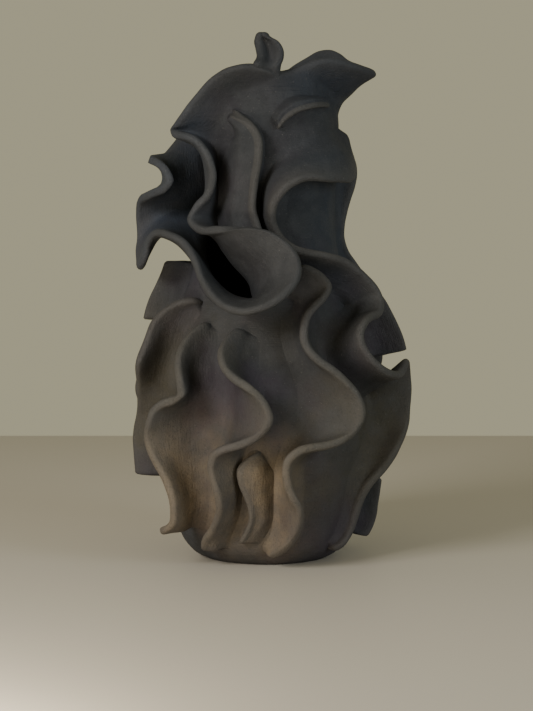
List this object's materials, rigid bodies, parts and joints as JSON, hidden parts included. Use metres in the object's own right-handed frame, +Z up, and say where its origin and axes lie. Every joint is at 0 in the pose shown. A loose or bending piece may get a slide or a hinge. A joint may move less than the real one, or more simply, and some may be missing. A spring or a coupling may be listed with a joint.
{
  "type": "sculptural clay vase",
  "caption": "Tall hollow black clay vase on a round foot, wrapped in wavy ruffles, open at its flared top and down a lipped throat.",
  "frame": {"origin": "centre of the foot's resting face", "axes": "+Z up along the pot's axis, -Y towards the front where the lipped throat opens, +X to the right as seen from the front"},
  "size_m": [0.194, 0.2085, 0.3568],
  "materials": {
    "wall_clay": "unglazed reduction-fired clay, matte, scraped",
    "rim_clay": "unglazed reduction-fired clay, matte, smoothed by finger",
    "ruffle_clay": "unglazed reduction-fired clay, matte, smoothed by finger"
  },
  "bodies": {
    "root": {"foot_disc": "wall_clay", "lower_bowl_wall": "wall_clay", "belly_wall": "wall_clay", "shoulder_wall": "wall_clay", "neck_wall": "wall_clay", "crown_back": "rim_clay", "crown_spout": "rim_clay", "hood": "rim_clay", "throat_lip": "rim_clay", "left_wing": "rim_clay", "crown_ear": "rim_clay", "left_outer_ruffle": "ruffle_clay", "left_front_ruffle": "ruffle_clay", "centre_left_ruffle": "ruffle_clay", "centre_right_ruffle": "ruffle_clay", "low_ridge": "ruffle_clay", "right_shoulder_ruffle": "ruffle_clay", "right_side_ruffle": "ruffle_clay", "front_ridge": "ruffle_clay", "brow_fold": "ruffle_clay", "rear_right_ruffle": "ruffle_clay", "low_right_fin": "ruffle_clay", "left_rear_fin": "ruffle_clay", "back_ruffle_a": "ruffle_clay", "back_ruffle_b": "ruffle_clay", "back_ruffle_c": "ruffle_clay", "back_ruffle_d": "ruffle_clay", "back_ruffle_e": "ruffle_clay", "back_ruffle_f": "ruffle_clay", "upper_back_ruffle_a": "ruffle_clay", "upper_back_ruffle_b": "ruffle_clay", "upper_back_ruffle_c": "ruffle_clay", "upper_back_ruffle_d": "ruffle_clay"}
  },
  "joints": []
}
